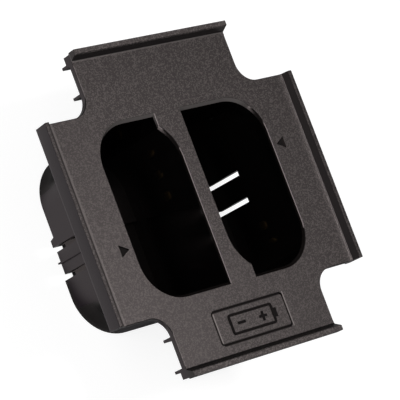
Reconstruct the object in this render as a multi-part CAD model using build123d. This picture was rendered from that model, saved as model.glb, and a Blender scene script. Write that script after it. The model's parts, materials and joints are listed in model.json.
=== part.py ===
from build123d import *
import math
import os

# Two-bay charging plate for a camera battery charger.
# Millimetres, +Z up. The origin is on the vertical axis midway between the two bays, at the
# level of the bay undersides. The whole part repeats itself when turned half a turn about Z.

# Battery bay, sizes at its mouth
bay_width = 20.95
bay_length = 39.0
bay_depth = 24.1
divider_width = 3.7
outer_corner_radius = 9.0
key_corner_radius = 10.5
key_notch_width = 3.4
lead_in_width = 0.5
lead_in_depth = 0.8
mouth_break = 0.15
side_draft = 0.6
end_draft = 0.1

# Moulded walls
bay_wall = 1.2
floor_thickness = 1.2

# Cross-shaped top plate
plate_thickness = 1.3
tongue_width = 42.0
wing_width = 44.06
notch_radius = 4.4
edge_radius = 0.2

# Foot and ends of the rims and lips
foot_radius = 0.45
foot_root = 0.7
border_end_radius = 0.12

# Raised rim across the end of each tongue
rim_span = 67.8
rim_height = 2.0
rim_slope_run = 0.9
rim_land = 1.1
rim_outer_radius = 0.12
rim_inner_radius = 0.15
rim_step = 0.4
rim_step_drop = 0.27
rim_foot_depth = 2.2

# Raised lip along the end of each wing
lip_span = 64.6
lip_height = 1.82
lip_slope_run = 1.0
lip_land = 0.92
lip_land_drop = 0.12
lip_radius = 0.15
skirt_depth = 2.6
skirt_draft = 0.45

# Stiffening ribs under each tongue
rib_thickness = 0.6
rib_depth = 3.9
inner_rib_span = 53.0

# Spring tongue cut into the outer wall of each bay, with the fin down its middle
slot_width = 1.2
slot_spacing = 6.26
slot_height = 11.6
slot_floor_reach = 1.2
latch_offset = 2.28
tongue_lift = 0.85
fin_width = 0.35
fin_proud = 0.8

# Marks sunk into the top face
mark_depth = 0.3
panel_length = 20.2
panel_width = 7.75
panel_centre = 27.9
panel_groove = 0.45
panel_corner_radius = 0.5
arrow_base = 2.7
arrow_height = 2.4
arrow_gap = 1.1
arrow_offset = 7.05

# Contact shelf, where the floor of each bay steps up, and the board below it
shelf_height = 1.4
shelf_start = 2.2
step_slope_run = 0.44
board_width = 9.0
board_length = 14.6
board_thickness = 0.8
board_corner_radius = 0.8
board_clearance = 0.35

# Contact blades, three to a board
contact_pitch = 5.15
blade_width = 2.0
blade_thickness = 0.4
blade_height = 1.0
blade_bend_radius = 0.2
blade_tip_radius = 0.8
blade_slot_clearance = 0.05
shelf_slot_clearance = 0.3
foot_length = 3.2
foot_thickness = 0.3
contact_names = ("positive", "sense", "negative")

# Moulded stakes that hold each board
stake_diameter = 1.6
stake_clearance = 0.05
stake_head_diameter = 2.6
stake_head_height = 0.3
stake_offset = 3.0

# Heights and places that follow from the sizes above
plate_top = floor_thickness + bay_depth
plate_underside = plate_top - plate_thickness
divider_face = -divider_width / 2
bay_centre = divider_face - bay_width / 2
bay_outer_face = divider_face - bay_width
shelf_top = floor_thickness + shelf_height
shelf_step_top = shelf_start + bay_wall
board_underside = shelf_height - board_thickness
contact_centre = shelf_step_top + board_clearance + board_length / 2
wall_face_low = bay_outer_face - bay_wall + side_draft
slot_inner_end = wall_face_low + bay_wall + slot_floor_reach
overlap = 0.5


def turned(shape):
    """The same shape half a turn about Z, for the bay on the other side."""
    return Rot(0, 0, 180) * shape


def both(shape):
    return shape + turned(shape)


def bay_outline(grow, side_inset, end_inset):
    """Left bay seen from above: one square corner, three round ones and the key notch."""
    inner_x = divider_face + grow
    outer_x = bay_outer_face - grow + side_inset
    end_y = bay_length / 2 + grow - end_inset
    notch_x = inner_x - key_notch_width
    corner = outer_corner_radius + grow
    key_corner = key_corner_radius + grow
    key_centre = (inner_x - key_corner, end_y - key_corner)
    key_angle = math.degrees(math.acos((notch_x - key_centre[0]) / key_corner))
    key_arc = CenterArc(key_centre, key_corner, 0, key_angle)
    key_end = key_arc @ 1
    edges = [
        Line((inner_x, -end_y), (inner_x, key_centre[1])),
        key_arc,
        Line(key_end, (notch_x, end_y)),
        Line((notch_x, end_y), (outer_x + corner, end_y)),
        CenterArc((outer_x + corner, end_y - corner), corner, 90, 90),
        Line((outer_x, end_y - corner), (outer_x, corner - end_y)),
        CenterArc((outer_x + corner, corner - end_y), corner, 180, 90),
        Line((outer_x + corner, -end_y), (inner_x, -end_y)),
    ]
    return make_face(edges)


def bay_body():
    """Outside of the left bay, from its underside up into the plate."""
    low = bay_outline(bay_wall, side_draft, lead_in_width + end_draft)
    high = Pos(0, 0, plate_underside + overlap) * bay_outline(bay_wall, 0, lead_in_width)
    return loft([low, high], ruled=True)


def bay_space():
    """Inside of the left bay, with the contact shelf left standing on its floor."""
    low = Pos(0, 0, floor_thickness) * bay_outline(0, side_draft, lead_in_width + end_draft)
    throat = Pos(0, 0, plate_top - lead_in_depth) * bay_outline(0, 0, lead_in_width)
    mouth = Pos(0, 0, plate_top - mouth_break) * bay_outline(0, 0, 0)
    brim = Pos(0, 0, plate_top) * bay_outline(mouth_break, 0, 0)
    shaft = Part()
    for lower, upper in ((low, throat), (throat, mouth), (mouth, brim)):
        shaft += loft([lower, upper], ruled=True)
    shelf_block = Box(bay_width + bay_wall, bay_length, 2 * shelf_top)
    shelf = Pos(bay_centre, shelf_start + bay_length / 2, 0) * shelf_block
    return shaft - shelf


def shelf_underside():
    """Room below the left contact shelf: the underside steps up with the floor above it."""
    section = Polyline(
        (shelf_step_top, shelf_height),
        (shelf_step_top - step_slope_run, 0),
        (shelf_step_top - step_slope_run, -overlap),
        (bay_length, -overlap),
        (bay_length, shelf_height),
        close=True,
    )
    plane = Plane((0, 0, 0), x_dir=(0, 1, 0), z_dir=(1, 0, 0))
    room = extrude(plane * make_face(section), bay_width + 2 * bay_wall + divider_width / 2)
    return Pos(bay_outer_face - 2 * bay_wall, 0, 0) * room


def top_plate():
    """Cross-shaped plate with rounded inner corners and a broken top edge."""
    tongue_length = rim_span + rim_slope_run
    wing_length = lip_span + lip_slope_run
    cross = Rectangle(tongue_width, tongue_length) + Rectangle(wing_length, wing_width)
    inner = [v for v in cross.vertices() if abs(v.X) < lip_span / 2 and abs(v.Y) < rim_span / 2]
    cross = fillet(inner, notch_radius)
    plate = Pos(0, 0, plate_underside) * extrude(cross, plate_thickness)
    return fillet(plate.edges().group_by(Axis.Z)[-1], edge_radius)


def raised_border(outline, corner_radii, length):
    """Border along X at the +Y side: an outline of (y, z) points, rounded and run out to its length.

    The outline starts under the plate and goes up and outwards. Each rounded corner is given as
    its point and radius. The land is rounded off at the two ends.
    """
    section = make_face(Polyline(*outline, close=True))
    for point, radius in corner_radii:
        corner = section.vertices().sort_by_distance((point[0], point[1], 0))[0]
        section = fillet(corner, radius)
    plane = Plane((0, 0, plate_top), x_dir=(0, 1, 0), z_dir=(1, 0, 0))
    border = extrude(plane * section, length / 2, both=True)
    ends = border.faces().sort_by(Axis.X)
    land = max(z for y, z in outline)
    end_edges = [e for e in ends[0].edges() + ends[-1].edges() if is_land_edge(e, land)]
    return fillet(end_edges, border_end_radius)


def is_land_edge(edge, land):
    """True for an end edge of the land, at the top of a border."""
    return edge.center().Z > plate_top + land / 2


def end_rim():
    """Rim at the +Y tongue: sloping inner face, rounded land, stepped outer face."""
    foot = rim_span / 2
    land_in = foot + rim_slope_run
    face = land_in + rim_land
    low_face = face - rim_step
    outline = [
        (foot - foot_root, -plate_thickness),
        (foot - foot_root, 0),
        (foot, 0),
        (land_in, rim_height),
        (face, rim_height),
        (face, 0),
        (low_face, -rim_step_drop),
        (low_face, -rim_foot_depth),
        (foot, -rim_foot_depth),
        (foot, -plate_thickness),
    ]
    corners = [
        (outline[2], foot_radius),
        (outline[3], rim_inner_radius),
        (outline[4], rim_outer_radius),
    ]
    return raised_border(outline, corners, tongue_width)


def side_lip():
    """Lip at the -X wing: sloping inner face, narrow land and a skirt that leans in."""
    foot = lip_span / 2
    land_in = foot + lip_slope_run
    face = land_in + lip_land
    outline = [
        (foot - foot_root, -plate_thickness),
        (foot - foot_root, 0),
        (foot, 0),
        (land_in, lip_height),
        (face, lip_height - lip_land_drop),
        (face - skirt_draft, -skirt_depth),
        (foot, -skirt_depth),
        (foot, -plate_thickness),
    ]
    corners = [(outline[2], foot_radius), (outline[3], lip_radius), (outline[4], lip_radius)]
    return Rot(0, 0, 90) * raised_border(outline, corners, wing_width)


def tongue_ribs():
    """Two cross ribs under the +Y tongue, one against the foot of the rim."""
    ribs = Part()
    for outer_face in (rim_span / 2, inner_rib_span / 2 + rib_thickness):
        depth = rib_depth - plate_thickness + overlap
        centre_z = plate_top - rib_depth + depth / 2
        ribs += Pos(0, outer_face - rib_thickness / 2, centre_z) * Box(tongue_width, rib_thickness, depth)
    return ribs


def latch_relief():
    """Two upright slots in the outer wall of the left bay, open below, and the room under the tongue."""
    reach = slot_inner_end - bay_outer_face + 2 * bay_wall
    centre_x = slot_inner_end - reach / 2
    relief = Pos(centre_x, -latch_offset, 0) * Box(reach, slot_spacing, 2 * tongue_lift)
    for side in (-1, 1):
        y = side * slot_spacing / 2 - latch_offset
        relief += Pos(centre_x, y, slot_height / 2) * Box(reach, slot_width, slot_height)
    return relief


def latch_fin():
    """Upright fin down the middle of the left spring tongue."""
    depth = fin_proud + bay_wall / 2
    height = slot_height - tongue_lift
    centre_x = wall_face_low - fin_proud + depth / 2
    return Pos(centre_x, -latch_offset, tongue_lift + height / 2) * Box(depth, fin_width, height)


def name_panel():
    """Sunk outline of the plain name panel on the -Y tongue."""
    outer = RectangleRounded(panel_length, panel_width, panel_corner_radius + panel_groove)
    inner = RectangleRounded(
        panel_length - 2 * panel_groove, panel_width - 2 * panel_groove, panel_corner_radius
    )
    return Pos(0, -panel_centre, plate_top - mark_depth) * extrude(outer - inner, 2 * mark_depth)


def bay_arrow():
    """Sunk triangle on the left wing that points at the bay."""
    tip = bay_outer_face - arrow_gap
    shape = Polyline(
        (tip, -arrow_offset),
        (tip - arrow_height, arrow_base / 2 - arrow_offset),
        (tip - arrow_height, -arrow_base / 2 - arrow_offset),
        close=True,
    )
    return Pos(0, 0, plate_top - mark_depth) * extrude(make_face(shape), 2 * mark_depth)


def contact_places():
    return [contact_centre + step * contact_pitch for step in (-1, 0, 1)]


def stake_places():
    x = bay_centre + stake_offset
    return [(x, contact_centre - contact_pitch / 2), (x, contact_centre + contact_pitch / 2)]


def blade_openings():
    """Three openings through the left contact shelf, one for each blade."""
    slot_x = blade_thickness + 2 * shelf_slot_clearance
    slot_y = blade_width + 2 * shelf_slot_clearance
    openings = Part()
    for y in contact_places():
        openings += Pos(bay_centre, y, shelf_top) * Box(slot_x, slot_y, 2 * shelf_top)
    return openings


def board_stakes():
    """Two stakes down from the underside of the shelf, headed over below the board."""
    stakes = Part()
    head_low = board_underside - stake_head_height
    for x, y in stake_places():
        shank_height = shelf_height + overlap - head_low
        stakes += Pos(x, y, head_low + shank_height / 2) * Cylinder(stake_diameter / 2, shank_height)
        stakes += Pos(x, y, head_low + stake_head_height / 2) * Cylinder(
            stake_head_diameter / 2, stake_head_height
        )
    return stakes


def charging_plate():
    """The single moulding: plate, bays, rims, lips, ribs, latches and marks."""
    body = top_plate() + both(bay_body()) + both(end_rim()) + both(side_lip())
    body += both(tongue_ribs())
    body -= both(bay_space()) + both(shelf_underside()) + both(latch_relief())
    body += both(latch_fin())
    body -= both(bay_arrow()) + name_panel() + both(blade_openings())
    return body + both(board_stakes())


def contact_board():
    """Board under the left shelf, with blade slots and stake holes."""
    outline = RectangleRounded(board_width, board_length, board_corner_radius)
    board = Pos(bay_centre, contact_centre, board_underside) * extrude(outline, board_thickness)
    slot_x = blade_thickness + 2 * blade_slot_clearance
    slot_y = blade_width + 2 * blade_slot_clearance
    middle = board_underside + board_thickness / 2
    for y in contact_places():
        board -= Pos(bay_centre, y, middle) * Box(slot_x, slot_y, 2 * board_thickness)
    for x, y in stake_places():
        hole = Cylinder(stake_diameter / 2 + stake_clearance, 2 * board_thickness)
        board -= Pos(x, y, middle) * hole
    return board


def contact_blade(y):
    """Stamped blade of the left bay: a foot below the board and an upright with a round tip."""
    right = bay_centre + blade_thickness / 2
    left = bay_centre - blade_thickness / 2
    foot_low = board_underside - foot_thickness
    tip = shelf_top + blade_height
    profile = Polyline(
        (right, foot_low),
        (right, tip),
        (left, tip),
        (left, board_underside),
        (right - foot_length, board_underside),
        (right - foot_length, foot_low),
        close=True,
    )
    section = make_face(profile)
    heel = section.vertices().group_by(Axis.Y)[0].sort_by(Axis.X)[-1]
    section = fillet(heel, blade_bend_radius)
    plane = Plane((0, y, 0), x_dir=(1, 0, 0), z_dir=(0, -1, 0))
    blade = extrude(plane * section, blade_width / 2, both=True)
    tip_edges = blade.edges().filter_by(Axis.X).group_by(Axis.Z)[-1]
    return fillet(tip_edges, blade_tip_radius)


def main():
    os.makedirs("parts", exist_ok=True)
    nodes = {"charging_plate": charging_plate()}
    board = contact_board()
    nodes["left_contact_board"] = board
    nodes["right_contact_board"] = turned(board)
    for name, y in zip(contact_names, contact_places()):
        blade = contact_blade(y)
        nodes[f"left_{name}_contact"] = blade
        nodes[f"right_{name}_contact"] = turned(blade)
    for name, solid in nodes.items():
        export_step(solid, f"parts/{name}.step")


main()
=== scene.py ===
import json
import math
from types import SimpleNamespace

import bmesh
import bpy
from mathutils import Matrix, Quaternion, Vector


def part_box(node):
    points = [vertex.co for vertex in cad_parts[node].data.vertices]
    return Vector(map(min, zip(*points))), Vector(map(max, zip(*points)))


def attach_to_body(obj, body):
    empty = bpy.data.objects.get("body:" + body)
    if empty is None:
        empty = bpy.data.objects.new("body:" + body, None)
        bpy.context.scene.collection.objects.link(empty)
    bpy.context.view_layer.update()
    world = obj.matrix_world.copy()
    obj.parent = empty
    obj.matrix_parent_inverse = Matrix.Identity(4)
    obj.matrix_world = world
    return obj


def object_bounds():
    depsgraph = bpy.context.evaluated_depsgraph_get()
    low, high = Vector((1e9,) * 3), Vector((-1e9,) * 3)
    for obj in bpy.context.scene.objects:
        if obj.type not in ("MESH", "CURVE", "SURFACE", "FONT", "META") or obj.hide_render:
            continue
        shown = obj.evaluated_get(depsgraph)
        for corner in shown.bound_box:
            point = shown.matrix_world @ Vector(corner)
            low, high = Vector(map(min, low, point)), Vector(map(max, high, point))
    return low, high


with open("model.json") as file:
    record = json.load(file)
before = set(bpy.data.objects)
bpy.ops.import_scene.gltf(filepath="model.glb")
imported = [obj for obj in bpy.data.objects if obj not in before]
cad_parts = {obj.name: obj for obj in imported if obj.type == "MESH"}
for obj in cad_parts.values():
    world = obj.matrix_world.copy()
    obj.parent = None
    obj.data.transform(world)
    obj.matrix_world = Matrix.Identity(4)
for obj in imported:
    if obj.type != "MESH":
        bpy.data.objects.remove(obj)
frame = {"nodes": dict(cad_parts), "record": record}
cad_low, cad_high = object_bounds()

MM = 0.001

# A limit past every place on the part, for a mask that is open on one side
PAST_ALL = 1.0

# Heights on the moulding that its finishes follow
RIM_HEIGHT = 2.0 * MM
PLATE_TOP = cad_high[2] - RIM_HEIGHT
LAND_LOW = PLATE_TOP + 1.62 * MM
SKIRT_EDGE = PLATE_TOP - 2.36 * MM
MOUTH_LEVEL = PLATE_TOP - 0.05 * MM
THROAT_LEVEL = PLATE_TOP - 0.8 * MM
MARK_FLOOR = PLATE_TOP - 0.35 * MM
BAY_FLOOR = 1.1 * MM
BAY_SHADE = 6.0 * MM
BAY_SHADE_SOFTNESS = 2.5 * MM

# Places across the moulding, from its middle: bays, then the lips along the wings
BAY_SIDE = 23.1 * MM
LIP_LINE = 31.3 * MM
NEAR_LIP_LINE = 31.45 * MM
LIP_FOOT = 32.3 * MM
LIP_MIDDLE = 33.62 * MM
LIP_SOFTNESS = 0.3 * MM
SKIRT_FACE = 33.6 * MM

# Places along the moulding, from its middle: bays, then the rims across the tongues
LEAD_IN_SIDE = 15.5 * MM
LEAD_IN_END = 18.5 * MM
BAY_END = 19.6 * MM
RIM_FOOT = 33.9 * MM
RIM_EDGE = 0.3 * MM

# Name panel: where it lies, half its length and width, and the groove round it
PANEL_LOW = 24.0 * MM
PANEL_HIGH = 31.8 * MM
PANEL_CENTRE = Vector((0.0, -27.9 * MM, PLATE_TOP))
PANEL_SIDE = 10.1 * MM
PANEL_END = 3.875 * MM
PANEL_GROOVE = 0.45 * MM
GROOVE_EDGE = 0.12 * MM

# Polarity sign on the name panel
SIGN_STROKE = 0.6 * MM
SIGN_HEIGHT = 0.2 * MM
SIGN_EDGE = 0.04 * MM
CELL_LENGTH = 12.4 * MM
CELL_WIDTH = 4.6 * MM
CELL_CORNER = 0.7 * MM
CAP_LENGTH = 0.7 * MM
CAP_WIDTH = 2.0 * MM
POLE_OFFSET = 3.0 * MM
POLE_ARM = 0.75 * MM

# Gold lands under the feet of the contacts
FOOT_THICKNESS = 0.3 * MM
LAND_MARGIN = 0.35 * MM
LAND_CORNER = 0.4 * MM
LAND_THICKNESS = 0.06 * MM
LAND_EDGE = LAND_THICKNESS / 4

# Segments of a rounded corner and of a broken edge
CORNER_SEGMENTS = 4
EDGE_SEGMENTS = 2

# Spark texture of the mould's top faces
GRAIN_SIZE = 0.25 * MM
GRAIN_DEPTH = 0.03 * MM
GRAIN_STRENGTH = 0.8
GRAIN_DETAIL = 3.0
GRAIN_SHARPNESS = 0.7
CELL_HEIGHT = 0.3
CELL_SHARE = 0.7
NOISE_RANGE = (0.35, 0.65)
SPECKLE_RANGE = (0.45, 0.75)
EDGE_SOFTNESS = 0.02 * MM

# Black moulding: dark and pale grains of the sparked faces
PLATE_GRAINS = (0.007, 0.0061, 0.0059, 1), (0.058, 0.0506, 0.0492, 1)
# Paler grains for the lands, also laid along the feet of the lips as a painted highlight
LAND_GRAINS = (0.02, 0.0172, 0.017, 1), (0.095, 0.083, 0.0802, 1)

# Black moulding: tones of the smooth faces and marks, with painted highlights and painted shade
BORDER_SATIN = (0.012, 0.0106, 0.0108, 1)
# Outer faces: darker, magenta-tinted satin, as painted shade with a painted reflection tint
OUTER_SATIN = (0.009, 0.0048, 0.0085, 1)
# Painted highlight along the low edge of the skirts
SKIRT_EDGE_TONE = (0.055, 0.047, 0.052, 1)
# Painted highlight at the foot of the far rim and towards the ends of the bays' lead-in
PALE_EDGE_TONE = (0.1, 0.091, 0.0885, 1)
# Painted highlight on the plate at the foot of the near lip
LIP_FOOT_TONE = (0.1, 0.088, 0.085, 1)
# Painted highlight on the short sides of the name panel's groove
GROOVE_EDGE_TONE = (0.2, 0.18, 0.173, 1)
# Painted shade on the near lip's land and beside the long sides of the panel's groove
SHADED_TONE = (0.002, 0.0018, 0.0018, 1)
MARK_TONE = (0.003, 0.0026, 0.0026, 1)
LEAD_IN_TONE = (0.008, 0.0066, 0.0062, 1)
# Painted shade: the bays' throats and the near rim's inner slope
DEEP_BLACK = (0.001, 0.001, 0.001, 1)

# Black moulding: gloss
GLOSS_TINT = (1.0, 0.86, 0.845, 1)
PLATE_ROUGHNESS = 0.34
LAND_ROUGHNESS = 0.5
SHADED_ROUGHNESS = 0.72
SATIN_ROUGHNESS = 0.24
POLISHED_ROUGHNESS = 0.07
BAY_FLOOR_ROUGHNESS = 0.5

# Gold plating and lacquered board: two tones, two roughnesses and the size of their texture
GOLD_TONES = (0.90, 0.64, 0.24, 1), (1.0, 0.77, 0.36, 1)
GOLD_ROUGHNESS = 0.5, 0.58
GOLD_GRAIN = 0.25 * MM
BOARD_TONES = (0.008, 0.035, 0.018, 1), (0.014, 0.055, 0.028, 1)
BOARD_ROUGHNESS = 0.25, 0.35
BOARD_GRAIN = 0.5 * MM

# Photograph's camera: where it stands, what it points at and how far it is rolled
CAMERA_HEIGHT = 0.3793
CAMERA_PLACE = Vector((-0.3174, -0.0681, PLATE_TOP + CAMERA_HEIGHT))
CAMERA_TARGET = Vector((-0.00188, -0.00079, PLATE_TOP))
CAMERA_ROLL = math.radians(60.1055)
CAMERA_LENS = 214.07
SENSOR_WIDTH = 36.0
CLIP_START = 0.01

# Studio floor, and the pool of light on it that the near wall mirrors
WHITE = (1, 1, 1, 1)
FLOOR_SIZE = 4.0
FLOOR_TONE = (0.3, 0.3, 0.3, 1)
FLOOR_ROUGHNESS = 0.9
FLOOR_GLOW = 0.85
POOL_GLOW = 0.52
POOL_FAR = -0.0455
POOL_NEAR = -0.0223
POOL_MIDDLE = 0.004
POOL_SLANT = 0.25
POOL_SOFTNESS = 0.0018

# Studio lamps by place, size and power, and the strength of the room's light overhead and level
SOFT_BOXES = {
    "key_light": (Vector((0.293, 0.0, 0.785)), 0.2, 2.6),
    "fill_light": (Vector((-0.46, 0.08, 0.42)), 0.3, 1.6),
    "edge_light": (Vector((-0.45, -0.6, 0.19)), 0.3, 1.2),
}
ROOM_HIGH = 0.22
ROOM_LOW = 0.1

# A Mix node's factor, first and second input, and its result, for numbers and for colours
NUMBER_SOCKETS = (0, 2, 3), 0
COLOUR_SOCKETS = (0, 6, 7), 2


def add_node(tree, kind, **settings):
    node = tree.nodes.new(kind)
    for name, value in settings.items():
        setattr(node, name, value)
    return node


def feed(tree, socket, value):
    """Puts a number, colour or vector on a socket, or links another node's output to it."""
    if isinstance(value, bpy.types.NodeSocket):
        tree.links.new(value, socket)
    else:
        socket.default_value = value


def calc(tree, operation, *values):
    """A Math node's result."""
    node = add_node(tree, "ShaderNodeMath", operation=operation)
    for socket, value in zip(node.inputs, values):
        feed(tree, socket, value)
    return node.outputs["Value"]


def both(tree, first, second):
    """Mask of what lies in both masks."""
    return calc(tree, "MULTIPLY", first, second)


def either(tree, first, second):
    """Mask of what lies in one mask or the other."""
    return calc(tree, "MAXIMUM", first, second)


def blend(tree, share, low, high):
    """A number that goes from low to high as share goes from 0 to 1."""
    node = add_node(tree, "ShaderNodeMix", data_type="FLOAT")
    given, result = NUMBER_SOCKETS
    for place, value in zip(given, (share, low, high)):
        feed(tree, node.inputs[place], value)
    return node.outputs[result]


def blend_colour(tree, share, low, high):
    """A colour that goes from low to high as share goes from 0 to 1."""
    node = add_node(tree, "ShaderNodeMix", data_type="RGBA")
    given, result = COLOUR_SOCKETS
    for place, value in zip(given, (share, low, high)):
        feed(tree, node.inputs[place], value)
    return node.outputs[result]


def ramp(tree, value, start, end):
    """A number that goes smoothly from 0 to 1 as a value goes from start to end."""
    node = add_node(tree, "ShaderNodeMapRange", interpolation_type="SMOOTHSTEP")
    for name, given in (("Value", value), ("From Min", start), ("From Max", end)):
        feed(tree, node.inputs[name], given)
    return node.outputs["Result"]


def split(tree, coordinates):
    """X, Y and Z of a vector."""
    node = tree.nodes.new("ShaderNodeSeparateXYZ")
    feed(tree, node.inputs["Vector"], coordinates)
    return node.outputs["X"], node.outputs["Y"], node.outputs["Z"]


def start_group(name, inputs, outputs):
    """An empty shader node group with named number or vector sockets."""
    group = bpy.data.node_groups.new(name, "ShaderNodeTree")
    for socket_name, kind in inputs:
        group.interface.new_socket(socket_name, in_out="INPUT", socket_type=kind)
    for socket_name, kind in outputs:
        group.interface.new_socket(socket_name, in_out="OUTPUT", socket_type=kind)
    entry = group.nodes.new("NodeGroupInput")
    leave = group.nodes.new("NodeGroupOutput")
    return group, entry.outputs, leave.inputs


def place_group(tree, group, **values):
    """A copy of a node group in a material, with its inputs set. Spaces in names are underscores."""
    node = add_node(tree, "ShaderNodeGroup", node_tree=group)
    for name, value in values.items():
        feed(tree, node.inputs[name.replace("_", " ")], value)
    return node.outputs


def make_band_group():
    """Mask that is 1 while a value lies between two limits, with soft edges."""
    number = "NodeSocketFloat"
    group, given, result = start_group(
        "soft_band",
        [("Value", number), ("Low", number), ("High", number), ("Soft", number)],
        [("Mask", number)],
    )
    above_low = calc(group, "SUBTRACT", given["Value"], given["Low"])
    under_high = calc(group, "SUBTRACT", given["High"], given["Value"])
    rise = calc(group, "DIVIDE", above_low, given["Soft"])
    fall = calc(group, "DIVIDE", under_high, given["Soft"])
    inside = calc(group, "MINIMUM", rise, fall)
    feed(group, result["Mask"], ramp(group, inside, -1.0, 1.0))
    return group


def make_grain_group():
    """Spark-eroded grain: fine pits and peaks of one size, with a speckle that follows them."""
    group, given, result = start_group(
        "spark_grain",
        [("Vector", "NodeSocketVector"), ("Grain Size", "NodeSocketFloat")],
        [("Height", "NodeSocketFloat"), ("Speckle", "NodeSocketFloat")],
    )
    per_metre = calc(group, "DIVIDE", 1.0, given["Grain Size"])
    noise = add_node(group, "ShaderNodeTexNoise", noise_dimensions="3D")
    feed(group, noise.inputs["Vector"], given["Vector"])
    feed(group, noise.inputs["Scale"], per_metre)
    feed(group, noise.inputs["Detail"], GRAIN_DETAIL)
    feed(group, noise.inputs["Roughness"], GRAIN_SHARPNESS)
    grains = add_node(group, "ShaderNodeTexVoronoi", feature="F1")
    feed(group, grains.inputs["Vector"], given["Vector"])
    feed(group, grains.inputs["Scale"], per_metre)
    cell = split(group, grains.outputs["Color"])[0]
    peaks = calc(group, "MULTIPLY", cell, CELL_HEIGHT)
    feed(group, result["Height"], calc(group, "ADD", noise.outputs["Fac"], peaks))
    spread = add_node(group, "ShaderNodeMapRange", clamp=True)
    feed(group, spread.inputs["Value"], noise.outputs["Fac"])
    feed(group, spread.inputs["From Min"], NOISE_RANGE[0])
    feed(group, spread.inputs["From Max"], NOISE_RANGE[1])
    mixed = blend(group, CELL_SHARE, spread.outputs["Result"], cell)
    feed(group, result["Speckle"], ramp(group, mixed, *SPECKLE_RANGE))
    return group


def start_material(name):
    """A new material with one Principled shader, and the piece's Object coordinates."""
    material = bpy.data.materials.new(name)
    material.use_nodes = True
    tree = material.node_tree
    tree.nodes.clear()
    output = tree.nodes.new("ShaderNodeOutputMaterial")
    shader = tree.nodes.new("ShaderNodeBsdfPrincipled")
    tree.links.new(shader.outputs["BSDF"], output.inputs["Surface"])
    coordinates = tree.nodes.new("ShaderNodeTexCoord").outputs["Object"]
    return material, tree, shader, coordinates


def find_places(tree, band, coordinates):
    """Masks of the moulding's faces and edges, by where they lie on it."""
    x, y, z = split(tree, coordinates)
    across = calc(tree, "ABSOLUTE", x)
    along = calc(tree, "ABSOLUTE", y)
    off_panel = calc(tree, "ABSOLUTE", calc(tree, "SUBTRACT", y, PANEL_CENTRE.y))

    def span(value, low, high, soft=EDGE_SOFTNESS):
        return place_group(tree, band, Value=value, Low=low, High=high, Soft=soft)["Mask"]

    at = SimpleNamespace()

    # Plate between the borders, lands on top of the borders, and both together
    inside_lips = span(across, -PAST_ALL, LIP_FOOT)
    on_plate = both(tree, inside_lips, span(along, -PAST_ALL, RIM_FOOT))
    level = span(z, PLATE_TOP - EDGE_SOFTNESS, PLATE_TOP + EDGE_SOFTNESS)
    at.lands = span(z, LAND_LOW, PAST_ALL, 2 * EDGE_SOFTNESS)
    at.sparked = either(tree, both(tree, level, on_plate), at.lands)

    # Bays, the throat below their lead-in, which is painted near-black as shade, a painted highlight
    # towards the lead-in's ends, and the floor
    below = span(z, BAY_FLOOR, MOUTH_LEVEL)
    in_mouths = both(tree, span(across, 0.0, BAY_SIDE), span(along, -PAST_ALL, BAY_END))
    at.bay = both(tree, below, in_mouths)
    at.throat = span(z, -PAST_ALL, THROAT_LEVEL)
    at.lead_in_end = ramp(tree, y, LEAD_IN_SIDE, LEAD_IN_END)
    at.bay_floor = both(tree, at.bay, span(z, -PAST_ALL, BAY_SHADE, BAY_SHADE_SOFTNESS))

    # Outer faces, painted darker as shade, and a painted highlight along the low edge of the skirts
    skirts = span(across, SKIRT_FACE, PAST_ALL)
    at.outside = either(tree, below, skirts)
    at.skirt_edge = both(tree, span(z, -PAST_ALL, SKIRT_EDGE), skirts)

    # Inner slope of the near rim, painted dark as shade, and foot of the far one, with a painted
    # highlight
    slope = span(z, PLATE_TOP, LAND_LOW)
    at.rim_slope = both(tree, slope, ramp(tree, y, -RIM_FOOT + RIM_EDGE, -RIM_FOOT))
    foot = span(z, PLATE_TOP, PLATE_TOP + RIM_EDGE / 2)
    at.rim_foot = both(tree, foot, ramp(tree, y, RIM_FOOT - RIM_EDGE, RIM_FOOT))

    # Pale lands, with a painted highlight along the feet of the lips, a brighter one at the foot of the
    # near lip, and painted shade on the inner side of its land
    rim_lands = both(tree, at.lands, inside_lips)
    at.pale = either(tree, rim_lands, span(across, LIP_LINE, LIP_FOOT, 4 * EDGE_SOFTNESS))
    at.lip_foot = span(x, -LIP_FOOT, -NEAR_LIP_LINE)
    lip_shade = both(tree, span(x, -LIP_MIDDLE, -LIP_FOOT, LIP_SOFTNESS), at.lands)

    # Sunk marks and the raised sign, with the shaded and lit edges of the name panel's groove
    sunk = span(z, MARK_FLOOR, PLATE_TOP - EDGE_SOFTNESS)
    raised = span(z, PLATE_TOP + SIGN_HEIGHT / 2, PLATE_TOP + 2 * SIGN_HEIGHT)
    sign = both(tree, raised, span(along, PANEL_LOW, PANEL_HIGH))
    at.marks = both(tree, either(tree, sunk, sign), on_plate)
    groove_in = PANEL_END - PANEL_GROOVE - GROOVE_EDGE
    long_sides = span(off_panel, groove_in, PANEL_END + GROOVE_EDGE)
    groove_shade = both(tree, long_sides, span(across, -PAST_ALL, PANEL_SIDE - PANEL_GROOVE))
    at.shade = either(tree, lip_shade, groove_shade)
    lit_sides = [
        span(x, side - EDGE_SOFTNESS, side + 2 * GROOVE_EDGE)
        for side in (PANEL_GROOVE - PANEL_SIDE, PANEL_SIDE)
    ]
    short_sides = both(tree, either(tree, *lit_sides), span(off_panel, -PAST_ALL, PANEL_END))
    at.groove_edge = both(tree, short_sides, span(z, PLATE_TOP - GROOVE_EDGE, PAST_ALL))
    return at


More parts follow.
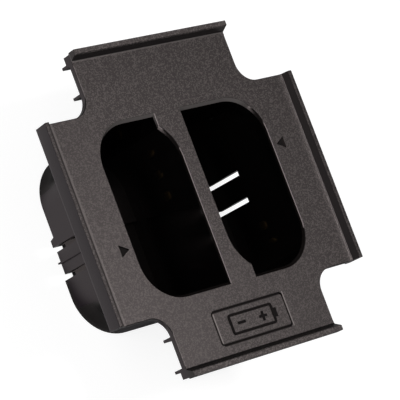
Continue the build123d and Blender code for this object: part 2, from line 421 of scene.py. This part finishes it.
def colour_smooth_faces(tree, at):
    """Colour of the moulding's satin and polished faces, with painted highlights and painted shade."""
    # outer faces take the darker, tinted satin: painted shade with a painted reflection tint
    satin = blend_colour(tree, at.outside, BORDER_SATIN, OUTER_SATIN)
    # painted highlight along the skirts' low edge
    satin = blend_colour(tree, at.skirt_edge, satin, SKIRT_EDGE_TONE)
    # painted shade on the near rim's inner slope
    satin = blend_colour(tree, at.rim_slope, satin, DEEP_BLACK)
    # painted highlight at the far rim's foot
    satin = blend_colour(tree, at.rim_foot, satin, PALE_EDGE_TONE)
    # painted highlight on the short walls of the panel's groove
    mark = blend_colour(tree, at.groove_edge, MARK_TONE, GROOVE_EDGE_TONE)
    # painted highlight towards the lead-in's ends
    lead_in = blend_colour(tree, at.lead_in_end, LEAD_IN_TONE, PALE_EDGE_TONE)
    # bays' throats painted near-black as shade
    bay = blend_colour(tree, at.throat, lead_in, DEEP_BLACK)
    return blend_colour(tree, at.bay, blend_colour(tree, at.marks, satin, mark), bay)


def colour_sparked_faces(tree, at, speckle):
    """Colour of the moulding's sparked plate and lands, with painted highlights and painted shade."""
    plate = blend_colour(tree, speckle, *PLATE_GRAINS)
    land = blend_colour(tree, speckle, *LAND_GRAINS)
    # pale lands, with a painted highlight along the feet of the lips
    sparked = blend_colour(tree, at.pale, plate, land)
    # painted highlight at the foot of the near lip
    sparked = blend_colour(tree, at.lip_foot, sparked, LIP_FOOT_TONE)
    # painted shade on the near lip's land and beside the panel's groove
    sparked = blend_colour(tree, at.shade, sparked, SHADED_TONE)
    # painted highlight on the short sides of the panel's groove
    return blend_colour(tree, at.groove_edge, sparked, GROOVE_EDGE_TONE)


def roughen_faces(tree, at):
    """Roughness of all the moulding's faces."""
    bay = blend(tree, at.bay_floor, POLISHED_ROUGHNESS, BAY_FLOOR_ROUGHNESS)
    polished = either(tree, both(tree, at.bay, at.throat), at.marks)
    smooth = blend(tree, polished, SATIN_ROUGHNESS, bay)
    sparked = blend(tree, at.lands, PLATE_ROUGHNESS, LAND_ROUGHNESS)
    sparked = blend(tree, at.shade, sparked, SHADED_ROUGHNESS)
    return blend(tree, at.sparked, smooth, sparked)


def make_black_moulding(band, grain):
    """Black plastic: sparked top faces, satin sides and polished bays."""
    material, tree, shader, coordinates = start_material("black_moulding")
    at = find_places(tree, band, coordinates)
    texture = place_group(tree, grain, Vector=coordinates, Grain_Size=GRAIN_SIZE)
    smooth = colour_smooth_faces(tree, at)
    sparked = colour_sparked_faces(tree, at, texture["Speckle"])
    feed(tree, shader.inputs["Base Color"], blend_colour(tree, at.sparked, smooth, sparked))
    feed(tree, shader.inputs["Roughness"], roughen_faces(tree, at))
    feed(tree, shader.inputs["Specular Tint"], GLOSS_TINT)
    bump = tree.nodes.new("ShaderNodeBump")
    feed(tree, bump.inputs["Strength"], GRAIN_STRENGTH)
    feed(tree, bump.inputs["Distance"], GRAIN_DEPTH)
    feed(tree, bump.inputs["Height"], calc(tree, "MULTIPLY", texture["Height"], at.sparked))
    feed(tree, shader.inputs["Normal"], bump.outputs["Normal"])
    return material


def make_gold_plating(grain):
    """Gold flash over stamped brass, with a fine mottle."""
    material, tree, shader, coordinates = start_material("gold_plating")
    speckle = place_group(tree, grain, Vector=coordinates, Grain_Size=GOLD_GRAIN)["Speckle"]
    feed(tree, shader.inputs["Base Color"], blend_colour(tree, speckle, *GOLD_TONES))
    feed(tree, shader.inputs["Metallic"], 1.0)
    feed(tree, shader.inputs["Roughness"], blend(tree, speckle, *GOLD_ROUGHNESS))
    return material


def make_lacquered_board(grain):
    """Dark green laminate under lacquer, with the glass fibre just showing."""
    material, tree, shader, coordinates = start_material("lacquered_board")
    speckle = place_group(tree, grain, Vector=coordinates, Grain_Size=BOARD_GRAIN)["Speckle"]
    feed(tree, shader.inputs["Base Color"], blend_colour(tree, speckle, *BOARD_TONES))
    feed(tree, shader.inputs["Roughness"], blend(tree, speckle, *BOARD_ROUGHNESS))
    return material


def pick(piece):
    """Selects one piece alone and makes it active."""
    bpy.ops.object.select_all(action="DESELECT")
    piece.select_set(True)
    bpy.context.view_layer.objects.active = piece


def start_sheet(name, centre, length, width):
    """A flat rectangle, ready to be shaped into a thin piece."""
    bpy.ops.object.select_all(action="DESELECT")
    bpy.ops.mesh.primitive_plane_add(size=1, location=centre)
    sheet = bpy.context.object
    sheet.name = name
    sheet.scale = (length, width, 1)
    bpy.ops.object.transform_apply(location=True, rotation=True, scale=True)
    return sheet


def round_corners(radius):
    """Rounds the corners of the flat piece that is active."""
    bpy.ops.object.mode_set(mode="EDIT")
    bpy.ops.mesh.select_all(action="SELECT")
    bpy.ops.mesh.bevel(offset=radius, segments=CORNER_SEGMENTS, affect="VERTICES")
    bpy.ops.object.mode_set(mode="OBJECT")


def cut_to_ring(stroke):
    """Leaves only a border of the flat piece that is active."""
    bpy.ops.object.mode_set(mode="EDIT")
    bpy.ops.mesh.select_all(action="SELECT")
    bpy.ops.mesh.inset(thickness=stroke, use_even_offset=True)
    bpy.ops.mesh.delete(type="FACE")
    bpy.ops.object.mode_set(mode="OBJECT")


def pull_arms(piece, centre, directions, reach):
    """Pulls an arm out of each side of a small square that faces one of the directions."""
    bpy.ops.object.mode_set(mode="EDIT")
    bpy.ops.mesh.select_mode(type="EDGE")
    for direction in directions:
        bpy.ops.mesh.select_all(action="DESELECT")
        mesh = bmesh.from_edit_mesh(piece.data)
        side = max(mesh.edges, key=lambda e: (e.verts[0].co + e.verts[1].co - 2 * centre).dot(direction))
        side.select_set(True)
        bmesh.update_edit_mesh(piece.data)
        bpy.ops.mesh.extrude_region_move(TRANSFORM_OT_translate={"value": direction * reach})
    bpy.ops.object.mode_set(mode="OBJECT")


def thicken(piece, height, edge):
    """Gives a flat piece its thickness, upwards or downwards, and breaks its edges."""
    pick(piece)
    bpy.ops.object.mode_set(mode="EDIT")
    bpy.ops.mesh.select_all(action="SELECT")
    bpy.ops.mesh.remove_doubles(threshold=edge / 10)
    bpy.ops.mesh.normals_make_consistent(inside=False)
    bpy.ops.object.mode_set(mode="OBJECT")
    wall = piece.modifiers.new("wall", "SOLIDIFY")
    wall.thickness = height
    wall.offset = 1.0
    broken = piece.modifiers.new("broken_edges", "BEVEL")
    broken.width = edge
    broken.segments = EDGE_SEGMENTS
    for modifier in ("wall", "broken_edges"):
        bpy.ops.object.modifier_apply(modifier=modifier)


def copy_piece(pattern, name, shift):
    """A copy of a finished piece, with a mesh of its own that is moved by a shift."""
    piece = pattern.copy()
    piece.data = pattern.data.copy()
    piece.name = name
    bpy.context.scene.collection.objects.link(piece)
    pick(piece)
    piece.location = shift
    bpy.ops.object.transform_apply(location=True, rotation=False, scale=False)
    return piece


def dress(piece, material):
    """Gives a piece or a CAD node's object one material."""
    slots = piece.data.materials
    slots.clear()
    slots.append(material)


def attach(piece, material):
    """Fixes a finished piece to the moulding and gives it its finish."""
    dress(piece, material)
    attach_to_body(piece, "root")


def make_polarity_sign():
    """Raised battery outline with plus and minus poles, in the middle of the name panel."""
    along = Vector((1, 0, 0))
    across = Vector((0, 1, 0))
    outline = start_sheet("polarity_sign", PANEL_CENTRE, CELL_LENGTH, CELL_WIDTH)
    round_corners(CELL_CORNER)
    cut_to_ring(SIGN_STROKE)
    cap_centre = PANEL_CENTRE + along * (CELL_LENGTH + CAP_LENGTH) / 2
    strokes = [start_sheet("cap", cap_centre, CAP_LENGTH, CAP_WIDTH)]
    poles = ((1, (along, -along, across, -across)), (-1, (along, -along)))
    for side, directions in poles:
        centre = PANEL_CENTRE + along * side * POLE_OFFSET
        pole = start_sheet("pole", centre, SIGN_STROKE, SIGN_STROKE)
        pull_arms(pole, centre, directions, POLE_ARM)
        strokes.append(pole)
    pick(outline)
    for stroke in strokes:
        stroke.select_set(True)
    bpy.ops.object.join()
    thicken(outline, SIGN_HEIGHT, SIGN_EDGE)
    return outline


def make_contact_lands(contacts, material):
    """A gold land on the board round the foot of each contact, below the board."""
    pattern = None
    for contact in contacts:
        low, high = (Vector(corner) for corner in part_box(contact))
        centre = (low + high) / 2
        centre.z = low.z + FOOT_THICKNESS
        name = contact.replace("contact", "land")
        if pattern is None:
            size = high - low
            pattern = start_sheet(name, centre, size.x + 2 * LAND_MARGIN, size.y + 2 * LAND_MARGIN)
            round_corners(LAND_CORNER)
            thicken(pattern, -LAND_THICKNESS, LAND_EDGE)
            pattern_centre = centre
            land = pattern
        else:
            land = copy_piece(pattern, name, centre - pattern_centre)
        attach(land, material)


def make_white_floor():
    """Pale floor: white to the camera, with a pool of light that only glossy faces mirror."""
    material, tree, shader, coordinates = start_material("white_floor")
    feed(tree, shader.inputs["Base Color"], FLOOR_TONE)
    feed(tree, shader.inputs["Roughness"], FLOOR_ROUGHNESS)
    x, y, _ = split(tree, coordinates)
    off_middle = calc(tree, "ABSOLUTE", calc(tree, "SUBTRACT", y, POOL_MIDDLE))
    slanted = calc(tree, "ADD", x, calc(tree, "MULTIPLY", off_middle, POOL_SLANT))
    inner = ramp(tree, slanted, POOL_NEAR + POOL_SOFTNESS, POOL_NEAR - POOL_SOFTNESS)
    outer = ramp(tree, x, POOL_FAR - POOL_SOFTNESS, POOL_FAR + POOL_SOFTNESS)
    pool = calc(tree, "MULTIPLY", both(tree, inner, outer), POOL_GLOW)
    rays = tree.nodes.new("ShaderNodeLightPath").outputs
    mirrored = calc(tree, "MULTIPLY", rays["Is Glossy Ray"], pool)
    seen = either(tree, rays["Is Camera Ray"], rays["Is Transmission Ray"])
    glow = calc(tree, "MAXIMUM", calc(tree, "MULTIPLY", seen, FLOOR_GLOW), mirrored)
    feed(tree, shader.inputs["Emission Color"], WHITE)
    feed(tree, shader.inputs["Emission Strength"], glow)
    return material


def add_soft_box(name, place, size, power):
    """Square area lamp turned towards the object."""
    lamp = bpy.data.lights.new(name, "AREA")
    lamp.shape = "SQUARE"
    lamp.size = size
    lamp.energy = power
    soft_box = bpy.data.objects.new(name, lamp)
    soft_box.location = place
    soft_box.rotation_euler = (CAMERA_TARGET - place).to_track_quat("-Z", "Y").to_euler()
    bpy.context.scene.collection.objects.link(soft_box)


def make_room():
    """Dim white room, brighter overhead."""
    world = bpy.data.worlds.new("studio_room")
    world.use_nodes = True
    tree = world.node_tree
    room = tree.nodes["Background"]
    direction = tree.nodes.new("ShaderNodeTexCoord").outputs["Generated"]
    height = calc(tree, "MAXIMUM", split(tree, direction)[2], 0.0)
    feed(tree, room.inputs["Strength"], blend(tree, height, ROOM_LOW, ROOM_HIGH))
    feed(tree, room.inputs["Color"], WHITE)
    bpy.context.scene.world = world


def make_studio():
    """White floor, overhead key, fill, low edge light and a dim room."""
    bpy.ops.object.select_all(action="DESELECT")
    bpy.ops.mesh.primitive_plane_add(size=FLOOR_SIZE)
    floor = bpy.context.object
    floor.name = "studio_floor"
    floor.data.materials.append(make_white_floor())
    for name, (place, size, power) in SOFT_BOXES.items():
        add_soft_box(name, place, size, power)
    make_room()


def make_camera():
    """Camera at the photograph's place, rolled as the photograph is."""
    lens = bpy.data.cameras.new("photo_camera")
    lens.lens = CAMERA_LENS
    lens.sensor_width = SENSOR_WIDTH
    lens.clip_start = CLIP_START
    camera = bpy.data.objects.new("photo_camera", lens)
    back = CAMERA_PLACE - CAMERA_TARGET
    camera.rotation_mode = "QUATERNION"
    camera.rotation_quaternion = back.to_track_quat("Z", "Y") @ Quaternion((0, 0, 1), CAMERA_ROLL)
    camera.location = CAMERA_PLACE
    bpy.context.scene.collection.objects.link(camera)
    bpy.context.scene.camera = camera


band_group = make_band_group()
grain_group = make_grain_group()
finishes = {
    "moulding": make_black_moulding(band_group, grain_group),
    "contact": make_gold_plating(grain_group),
    "board": make_lacquered_board(grain_group),
}
for part in frame["record"]["subparts"]:
    dress(frame["nodes"][part["node"]], finishes[part["material_slot"]])

attach(make_polarity_sign(), finishes["moulding"])
contacts = [part["node"] for part in frame["record"]["subparts"] if part["material_slot"] == "contact"]
make_contact_lands(contacts, finishes["contact"])

make_studio()
make_camera()
bpy.context.scene.view_settings.view_transform = "Standard"
